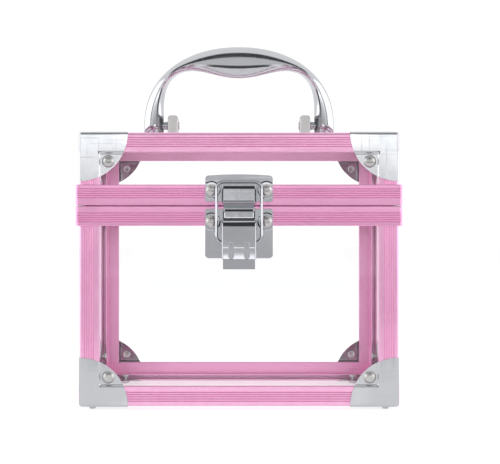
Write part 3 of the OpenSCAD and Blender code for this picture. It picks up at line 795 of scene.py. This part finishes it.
RIVET_IN, SUNK = LEG + 6, WALL - SHEET
rivet_front = set_rivet(rivet, "rivet_front", ORIGIN)
turn(rivet_front, 90, "X")
rivet_left = set_rivet(rivet, "rivet_left", ORIGIN)
turn(rivet_left, -90, "Y")
corner_set = join("corner_rivet_set", [
    set_rivet(rivet, "rivet_down", corner_at + Vector((RIVET_IN, RIVET_IN, SUNK)), flip=(1, 1, -1)),
    set_rivet(rivet_front, "rivet_set_front", corner_at + Vector((RIVET_IN, SUNK, RIVET_IN))),
    set_rivet(rivet_left, "rivet_set_left", corner_at + Vector((SUNK, RIVET_IN, RIVET_IN)))])
for half, level in (("body", 1), ("lid", -1)):
    sets = [place_copy(corner_set, "set_" + corner, flip=(sx, sy, level)) for corner, (sx, sy) in SIGNS.items()]
    finish_piece(join(half + "_corner_rivet_heads", sets), RIDES_ON[half], "rivet_steel", satin,
                 half + "_corner_rivets", smooth=40)

# %% Rivets of the latch and the hinges
REAR_FACE, PLATE_T = REAR + PROUD, 1
LATCH_RIVET_X, HINGE_RIVETS_X = 18, (-64, -46, 46, 64)
LATCH_RIVET_Z = {"body": -10.4, "lid": 10.2}
HINGE_RIVET_Z = {"body": -7.6, "lid": 7.6}
rear_rivet = set_rivet(rivet_front, "rivet_rear", ORIGIN, flip=(1, -1, 1))
for half in ("body", "lid"):
    heads = [set_rivet(rivet_front, "latch_rivet", (x, BAND_FACE - PLATE_T, SPLIT + LATCH_RIVET_Z[half]))
             for x in (-LATCH_RIVET_X, LATCH_RIVET_X)]
    heads += [set_rivet(rear_rivet, "hinge_rivet", (x, REAR_FACE + PLATE_T, SPLIT + HINGE_RIVET_Z[half]))
              for x in HINGE_RIVETS_X]
    finish_piece(join(half + "_hardware_rivet_heads", heads), RIDES_ON[half], "rivet_steel", satin,
                 half + "_hardware_rivets", smooth=40)
for spare in (rivet, rivet_front, rivet_left, rear_rivet, corner_set):
    bpy.data.objects.remove(spare)

# %% [markdown]
# ## Handle
# The handle is a zinc casting with a smooth, changing section: a wide crown above and a
# narrow belly below, meeting in a ridge. It is drawn as a ring of points at the foot of
# one arm, then pulled along the arch one short step at a time. At each step the ring is
# moved, scaled to the width and depth there, and turned square to the arch.

# %% Stations along the handle
HANDLE_LOW, HANDLE_HIGH = node_box("handle")
HANDLE_W = HANDLE_HIGH.x - HANDLE_LOW.x
PIN_Z, SPRING = TOP + 9.2, TOP + 10
ARM_W, ARM_D, ARM_STEPS, ARCH_STEPS = 14.1, 13, 8, 64
GRIP_D, GRIP_T, BELLY = HANDLE_HIGH.y - HANDLE_LOW.y, 22.4, 8
RISE_OUT = HANDLE_HIGH.z - SPRING
RISE_IN = RISE_OUT - GRIP_T + BELLY
HALF_OUT, HALF_IN = HANDLE_W / 2, HANDLE_W / 2 - ARM_W


def arch_reach(angle, half, rise, power):
    """Distance from the middle of the springing to a squarish arch, at an angle from the left."""
    across, up = abs(math.cos(angle)) / half, math.sin(angle) / rise
    return (across ** power + up ** power) ** (-1 / power)


def station(angle):
    """Outer and inner point of the arch at an angle from the left arm."""
    way = Vector((-math.cos(angle), 0, math.sin(angle)))
    start = Vector((0, MID_Y, SPRING))
    outer = start + way * arch_reach(angle, HALF_OUT, RISE_OUT, 2.15)
    inner = start + way * arch_reach(angle, HALF_IN, RISE_IN, 4)
    inner.z -= BELLY * math.cos(math.radians(min(90, abs(inner.x) * 2))) ** 2
    return outer, inner


def depth_at(height):
    """The handle's depth, which grows from the arm's to the grip's."""
    grown = min(1, max(0, (height - PIN_Z) / (HANDLE_HIGH.z - GRIP_T - PIN_Z)))
    return ARM_D + (GRIP_D - ARM_D) * grown


stations = []
for k in range(ARM_STEPS + 1):
    angle = math.pi / 2 * k / ARM_STEPS
    height = PIN_Z - ARM_D / 2 * math.cos(angle) + 0.12 * (k == 0)
    width = ARM_W - 1.6 * (1 - math.sin(angle)) ** 2
    depth = 2 * math.sqrt(max(0.6, (ARM_D / 2) ** 2 - (PIN_Z - height) ** 2))
    stations.append((Vector((-HALF_OUT + ARM_W / 2, MID_Y, height)), 0, width, depth))
for k in range(ARCH_STEPS + 1):
    outer, inner = station(math.pi * k / ARCH_STEPS)
    way = inner - outer
    depth = depth_at(outer.z * 0.35 + inner.z * 0.65)
    stations.append(((outer + inner) / 2, math.atan2(-way.z, way.x), way.length, depth))
first_arm = stations[:ARM_STEPS + 1]
stations += [(Vector((-c.x, c.y, c.z)), math.pi - a, w, d) for c, a, w, d in reversed(first_arm)]
print(len(stations), "stations")

# %% Pull the ring along the arch
RIDGE, FACET, UNDERCUT = 0.64, 0.2, 0.09


def handle_section(steps=36):
    """The ring round one section, one unit wide and deep, with x outwards from the ridge below 0."""
    crown, belly = [], []
    for k in range(steps + 1):
        angle = math.pi * (k / steps - 0.5)
        across = -RIDGE * math.cos(angle) ** 0.85
        crown.append((across, 0.5 * math.copysign(abs(math.sin(angle)) ** 0.85, angle) * (1 + FACET * across)))
    for k in range(13):
        share = math.sin(math.pi / 2 * k / 12)
        belly.append((UNDERCUT + (1 - RIDGE - UNDERCUT) * share, 0.478 * (1 - share) ** 0.6))
    belly += [(x, -y) for x, y in reversed(belly[:-1])]
    return [(x + RIDGE - 0.5, y) for x, y in crown + belly]


centre, angle, width, depth = stations[0]
ring = handle_section()
handle = trace("handle_casting", [(x, y, 0) for x, y in ring + ring[:1]], fill=False)
edit(handle)
bpy.ops.mesh.remove_doubles(threshold=0.0005 * MM)
bpy.ops.mesh.select_all(action="SELECT")
bpy.ops.transform.resize(value=(width, depth, 1), center_override=(0, 0, 0))
bpy.ops.transform.translate(value=centre * MM)
for there in stations[1:]:
    extrude(there[0] - centre)
    centre, middle = there[0], there[0] * MM
    bpy.ops.transform.rotate(value=angle, orient_axis="Y", center_override=middle)
    bpy.ops.transform.resize(value=(there[2] / width, there[3] / depth, 1), center_override=middle)
    bpy.ops.transform.rotate(value=-there[1], orient_axis="Y", center_override=middle)
    angle, width, depth = there[1:]
bpy.ops.mesh.select_mode(type="EDGE")
bpy.ops.mesh.select_all(action="DESELECT")
bpy.ops.mesh.select_non_manifold()
bpy.ops.mesh.edge_face_add()
face_outwards()
leave_edit()

# %% Bore the arms for their pins
def rod(name, radius, length, middle, axis, vertices=32):
    """A plain round bar, used as a cutter or as the start of a pin."""
    bpy.ops.object.select_all(action="DESELECT")
    lean = {"x": (0, math.pi / 2, 0), "y": (math.pi / 2, 0, 0), "z": (0, 0, 0)}[axis]
    bpy.ops.mesh.primitive_cylinder_add(vertices=vertices, radius=radius * MM, depth=length * MM,
                                        location=Vector(middle) * MM, rotation=lean)
    obj = bpy.context.object
    obj.name = obj.data.name = name
    bpy.ops.object.transform_apply(location=True, rotation=True, scale=True)
    return obj


def carve(obj, cutters):
    """Cuts several shapes out of a piece and throws the cutters away."""
    tool = join("cutters", cutters) if len(cutters) > 1 else cutters[0]
    modify(obj, "BOOLEAN", operation="DIFFERENCE", object=tool, solver="EXACT")
    bpy.data.objects.remove(tool)


bores = []
for side in (-1, 1):
    bores.append(rod("bore", 2.58, 14.6, (side * HALF_IN, MID_Y, PIN_Z), "x"))
    dimple_at = (side * (HALF_OUT - ARM_W * 0.56), MID_Y - ARM_D / 2, PIN_Z)
    bores.append(rod("dimple", 0.8, 3.2, dimple_at, "y", 20))
carve(handle, bores)
finish_piece(handle, "handle", "plated_handle", plating, "handle", smooth=12)

# %% Brackets and pins of the handle
bracket_low, bracket_high = node_box("handle_bracket_right")
bracket = block("handle_bracket_block_right", bracket_low, bracket_high)
edit(bracket)
choose(bracket, "EDGE", lambda middle, way: abs(way.y) > 0.9 and middle.z > bracket_high.z - 1)
round_edges(2.2)
choose(bracket, "EDGE", lambda middle, way: abs(way.z) > 0.9)
round_edges(1.6)
leave_edit()
soften(bracket, 0.5, angle=40, segments=3)
left_bracket = place_copy(bracket, "handle_bracket_block_left", flip=(-1, 1, 1), about=(0, MID_Y, 0))
finish_piece(bracket, "lid", "plated_handle", satin, "handle_bracket_right")
finish_piece(left_bracket, "lid", "plated_handle", satin, "handle_bracket_left")

pin = lathe("handle_pin_right", [
    (0, -0.8), (2.2, -0.8), (2.75, -0.65), (3, -0.3), (3, 0), (2.5, 0.1), (2.5, 7.4), (2.85, 7.45),
    (3, 7.7), (3, 9.8), (2.85, 10.05), (2.5, 10.1), (2.5, 16.6), (2.1, 17.1), (0, 17.1)])
turn(pin, 90, "Y")
slide(pin, (bracket_low.x, MID_Y, PIN_Z))
left_pin = place_copy(pin, "handle_pin_left", flip=(-1, 1, 1), about=(0, MID_Y, 0))
finish_piece(join("handle_pin_pair", [pin, left_pin]), "lid", "latch_chrome", chrome, "handle_pins", smooth=40)
repaint("handle_screws", zinc)

# %% [markdown]
# ## Draw latch
# The latch is sheet steel, folded and chromed. Flat plates are outlines with rounded
# corners, pulled to a thickness. Folded parts are drawn as the line that the fold makes
# when seen from the side, pulled across, and thickened with Solidify. A cheek closes each
# side of a fold, and a low round seat lies under every rivet's head.


# %% Plates and folded sheet
def latch_plate(name, corners):
    """A flat plate on the bands' front face, from (x, z, radius) corners above the split."""
    outline = [(x, BAND_FACE, SPLIT + z) for x, z in rounded(corners, 5)]
    obj = pull(trace(name, outline), (0, -PLATE_T, 0))
    soften(obj, 0.3, angle=50, segments=3)
    return obj


def folded(name, line, width, thickness, inward=1):
    """A sheet folded along a (u, z) line, u outwards from the bands' face, z from the split."""
    obj = trace(name, [(-width / 2, BAND_FACE - u, SPLIT + z) for u, z in line], fill=False)
    edit(obj)
    extrude((width, 0, 0))
    leave_edit()
    if thickness:
        modify(obj, "SOLIDIFY", thickness=thickness * MM, offset=inward, use_even_offset=True)
        soften(obj, 0.2, angle=60)
    return obj


def seats(half, low, high):
    """The raised round seats under both rivets of a plate, trimmed to it."""
    pair = []
    for side in (-1, 1):
        boss = lathe("seat", [(6.1, 0), (6.0, 0.05), (5.2, 0.46), (5.0, 0.5), (0, 0.5)], steps=40)
        turn(boss, 90, "X")
        slide(boss, (side * LATCH_RIVET_X, BAND_FACE - 0.95, SPLIT + LATCH_RIVET_Z[half]))
        cut(boss, (side * (PLATE_HALF - 0.3), 0, 0), (side, 0, 0))
        cut(boss, (0, 0, SPLIT + low), (0, 0, -1))
        cut(boss, (0, 0, SPLIT + high), (0, 0, 1))
        pair.append(boss)
    return pair


def cheeks(reach, outline):
    """The side walls that close a folded part, each with a bright chamfer down its front edge."""
    pair = []
    for side in (-1, 1):
        x = side * reach
        wall = pull(trace("cheek", [(x, BAND_FACE - u, SPLIT + z) for u, z in outline]), (-side * 1.4, 0, 0))
        edit(wall)
        choose(wall, "EDGE", lambda middle, way: abs(middle.x - x) < 0.01
               and middle.y < BAND_FACE - 1.5 and abs(way.z) > 0.5)
        round_edges(0.9, 2)
        leave_edit()
        pair.append(wall)
    return pair


PLATE_HALF = 22.25
KEEPER_W = 21.7
keeper = latch_plate("keeper_plate", [(-PLATE_HALF, 2.6, 1.2), (PLATE_HALF, 2.6, 1.2), (PLATE_HALF, 19.7, 2.4),
                                      (11, 20.4, 12), (0, 20.6, 30), (-11, 20.4, 12), (-PLATE_HALF, 19.7, 2.4)])
hook = folded("hook", [(0.8, 1.7), (6.0, 1.7), (6.6, 1.85), (6.9, 2.2), (6.9, 2.7), (6.62, 3.25), (6.55, 3.6),
                       (6.5, 10.9), (5.75, 12.4), (5.6, 12.8), (5.6, 13.9), (5.45, 14.3)], KEEPER_W, 1.0)
shelf = folded("shelf", [(0.8, 13.55), (5.2, 13.7)], KEEPER_W, 0.7, inward=-1)
walls = cheeks(11.2, [(0.9, 2.0), (7.0, 2.0), (7.0, 10.8), (6.2, 12.6), (6.0, 13.4), (0.9, 13.4)])
keeper = join("latch_keeper_pressing", [keeper, hook, shelf, *walls, *seats("lid", 2.9, 18)])
finish_piece(keeper, "lid", "latch_chrome", chrome, "latch_keeper", smooth=12)

# %% Lower plate with its housing and ears
lower = latch_plate("lower_plate", [(-PLATE_HALF, -34.5, 2.6), (PLATE_HALF, -34.5, 2.6),
                                    (PLATE_HALF, -2, 1.4), (-PLATE_HALF, -2, 1.4)])
housing = folded("housing", [(0.95, 1.5), (2.0, -0.8), (2.2, -1.1), (2.75, -1.25), (2.85, -2.3), (3.5, -3.7),
                             (3.6, -4.0), (3.9, -7.5), (3.93, -8.0), (3.6, -8.5), (3.5, -9.0), (0.8, -9.2)],
                 20.0, 1.0, inward=-1)
walls = cheeks(10.5, [(0.9, -1.2), (3.2, -1.2), (3.6, -3.0), (4.0, -4.6), (4.1, -7.8), (3.4, -8.9), (0.9, -8.9)])
PIN_OUT, PIN_DROP, EAR_R = 5.2, -12.5, 3
ears = []
outline = rounded([(0.9, PIN_DROP - EAR_R, 0), (PIN_OUT + EAR_R, PIN_DROP - EAR_R, EAR_R - 0.01),
                   (PIN_OUT + EAR_R, PIN_DROP + EAR_R, EAR_R - 0.01), (0.9, PIN_DROP + EAR_R, 0)], 8)
for side in (-1, 1):
    ear = pull(trace("ear", [(side * 10.7, BAND_FACE - u, SPLIT + z) for u, z in outline]), (side, 0, 0))
    soften(ear, 0.2, angle=50)
    ears.append(ear)
lower = join("latch_lower_pressing", [lower, housing, *walls, *ears, *seats("body", -18, -2.3)])
finish_piece(lower, "case", "latch_chrome", chrome, "latch_plate", smooth=12)

latch_pin = lathe("latch_pin_turned", [
    (0, -12.5), (1.3, -12.45), (1.8, -12.1), (1.8, -11.75), (1.2, -11.7),
    (1.2, 11.7), (1.8, 11.75), (1.8, 12.1), (1.3, 12.45), (0, 12.5)], steps=20)
turn(latch_pin, 90, "Y")
slide(latch_pin, (0, BAND_FACE - PIN_OUT, SPLIT + PIN_DROP))
finish_piece(latch_pin, "case", "latch_chrome", chrome, "latch_pin", smooth=40)

# %% [markdown]
# ### Lever and bail
# The lever is a folded sheet whose sides are turned back as flanges. Its side edges are
# extruded backwards, the folds are bevelled round, and Solidify gives the sheet its
# thickness. Two raised beads with slits stiffen it. The bail is one loop of wire: a line
# drawn through its bends, made a curve with a round section, and made a mesh again.

# %% Fold the lever
LEVER_W, BEND, TAB, END = 20.8, 15, 22.8, 29.1
roll = [(2.6 * math.cos(math.radians(a)), 2.6 * math.sin(math.radians(a))) for a in (120, 95, 75, 55, 40)]
web = roll + [(2.55, 0.7), (3.45, -1.3), (3.6, -1.8), (4.9, -BEND + 0.4), (4.95, -BEND - 0.2),
              (5.17, -TAB + 0.5), (5.45, -TAB - 0.1), (6.9, -END + 0.3)]
lever = folded("latch_lever_pressing", [(PIN_OUT + u, PIN_DROP + z) for u, z in web], LEVER_W, 0)
edit(lever)


def on_side(middle, way):
    """Tells whether an edge lies along a side of the lever, from its pin to below the bend."""
    return (abs(abs(middle.x) - LEVER_W / 2) < 0.01 and abs(way.x) < 0.1
            and SPLIT + PIN_DROP - BEND - 4.5 < middle.z < SPLIT + PIN_DROP + 0.1)


choose(lever, "EDGE", on_side)
extrude((0, 4.4, 0))
choose(lever, "EDGE", lambda middle, way: on_side(middle, way) and middle.y < BAND_FACE - PIN_OUT - 2)
round_edges(1.7, clamp_overlap=True)
bpy.ops.mesh.select_all(action="SELECT")
bpy.ops.mesh.remove_doubles(threshold=0.005 * MM)
leave_edit()
modify(lever, "SOLIDIFY", thickness=0.9 * MM, offset=1)
soften(lever, 0.18, angle=60)

BEAD_X, BEAD_R = 5.1, 1.8
beads = []
for side in (-1, 1):
    left, right = side * BEAD_X - BEAD_R, side * BEAD_X + BEAD_R
    outline = rounded([(x, z, BEAD_R - 0.01) for x, z in (
        (left, -TAB + 0.6), (right, -TAB + 0.6), (right, -10.6), (left, -10.6))], 6)
    bead = pull(trace("bead", [(x, BAND_FACE - PIN_OUT - 3.4, SPLIT + PIN_DROP + z) for x, z in outline]), (0, -3.4, 0))
    soften(bead, 0.75, angle=40, segments=4)
    carve(bead, [rod("slit", 0.7, 6, (side * BEAD_X, BAND_FACE - PIN_OUT - 7.4, SPLIT + PIN_DROP - 13), "y", 16)])
    beads.append(bead)
flanges = cheeks(10.45, [(7.6, -13.9), (9.0, -13.9), (10.7, -27.2), (10.5, -28.4), (9.2, -28.4)])
lever = join("latch_lever_pressing", [lever, *beads, *flanges])
finish_piece(lever, "latch_lever", "latch_chrome", chrome, "latch_lever", smooth=26)

# %% Bend the bail
BAIL_W, WIRE, BAIL_BEND = 31.7, 1.0, 5
bottom = Vector((0, BAND_FACE - PIN_OUT, SPLIT - 24.4))
top = Vector((0, BAND_FACE - PIN_OUT + 1.8, SPLIT + 15.66))
rise = top - bottom
half = BAIL_W / 2 - WIRE
loop = rounded([(-half, 0, BAIL_BEND), (half, 0, BAIL_BEND),
                (half, rise.length, BAIL_BEND), (-half, rise.length, BAIL_BEND)], 8)
bail = trace("latch_bail_wire", [Vector((p.x, bottom.y, bottom.z)) + rise.normalized() * p.y for p in loop + loop[:1]],
             fill=False)
edit(bail)
bpy.ops.mesh.remove_doubles(threshold=0.01 * MM)
leave_edit()
pick(bail)
bpy.ops.object.convert(target="CURVE")
bail = bpy.context.object
bail.data.bevel_depth = WIRE * MM
bail.data.bevel_resolution = 4
bpy.ops.object.convert(target="MESH")
bail = bpy.context.object
edit(bail)
face_outwards()
leave_edit()
finish_piece(bail, "latch_bail", "latch_chrome", chrome, "latch_bail", smooth=60)

# %% [markdown]
# ## Hinges
# A butt hinge is two leaves whose fingers curl round one pin. A leaf is a plate, and
# each finger is a folded sheet that follows three quarters of a circle round the pin.

# %% Make one leaf, then mirror it
HINGE_X, HINGE_W, PIN_REACH, CURL = 55, 30, 2.8, 2.5
LEAF_START, LEAF_END, PLAY = 2.8, 12.8, 0.15
FINGER = HINGE_W / 5


def on_rear(points, x):
    """Turns (u, z) points into places behind the rear band, u outwards from its face."""
    return [(x, REAR_FACE + u, SPLIT + z) for u, z in points]


def leaf(name, fingers, middle, up):
    """One leaf: a plate beyond the split, above it or below it, and curled fingers."""
    outline = rounded([(-HINGE_W / 2, LEAF_START, 0.3), (HINGE_W / 2, LEAF_START, 0.3),
                       (HINGE_W / 2, LEAF_END, 2), (-HINGE_W / 2, LEAF_END, 2)], 4)
    plate = pull(trace("leaf", [(middle + x, REAR_FACE, SPLIT + up * z) for x, z in outline]), (0, 1, 0))
    soften(plate, 0.2, angle=50)
    curl = [(0.02, 3.4), (0.02, 2.2), (0.12, 1.2)]
    curl += [(PIN_REACH + CURL * math.cos(a), CURL * math.sin(a))
             for a in (math.radians(180 + 15 * k) for k in range(1, 22))]
    parts = [plate]
    for i in fingers:
        low = middle - HINGE_W / 2 + i * FINGER + PLAY
        finger = trace("finger", on_rear([(u, up * z) for u, z in curl], low), fill=False)
        edit(finger)
        extrude((FINGER - 2 * PLAY, 0, 0))
        leave_edit()
        modify(finger, "SOLIDIFY", thickness=0.98 * MM, offset=1 if up > 0 else -1, use_even_offset=True)
        soften(finger, 0.15, angle=60)
        parts.append(finger)
    return join(name, parts)


for side in (-1, 1):
    word = "left" if side < 0 else "right"
    for half, fingers, up in (("body", (0, 2, 4), -1), ("lid", (1, 3), 1)):
        finish_piece(leaf(f"hinge_leaf_{half}_{word}", fingers, side * HINGE_X, up), RIDES_ON[half],
                     "hinge_steel", zinc, f"hinge_{half}_leaves")
    hinge_pin = lathe("hinge_pin_" + word, [(0, -15.8), (1.2, -15.7), (1.75, -15.35), (1.8, -15), (1.2, -14.95),
                                            (1.2, 14.95), (1.8, 15), (1.75, 15.35), (1.2, 15.7), (0, 15.8)], steps=20)
    turn(hinge_pin, 90, "Y")
    slide(hinge_pin, (side * HINGE_X, REAR_FACE + PIN_REACH, SPLIT))
    finish_piece(hinge_pin, "case", "hinge_steel", zinc, "hinge_pins", smooth=40)
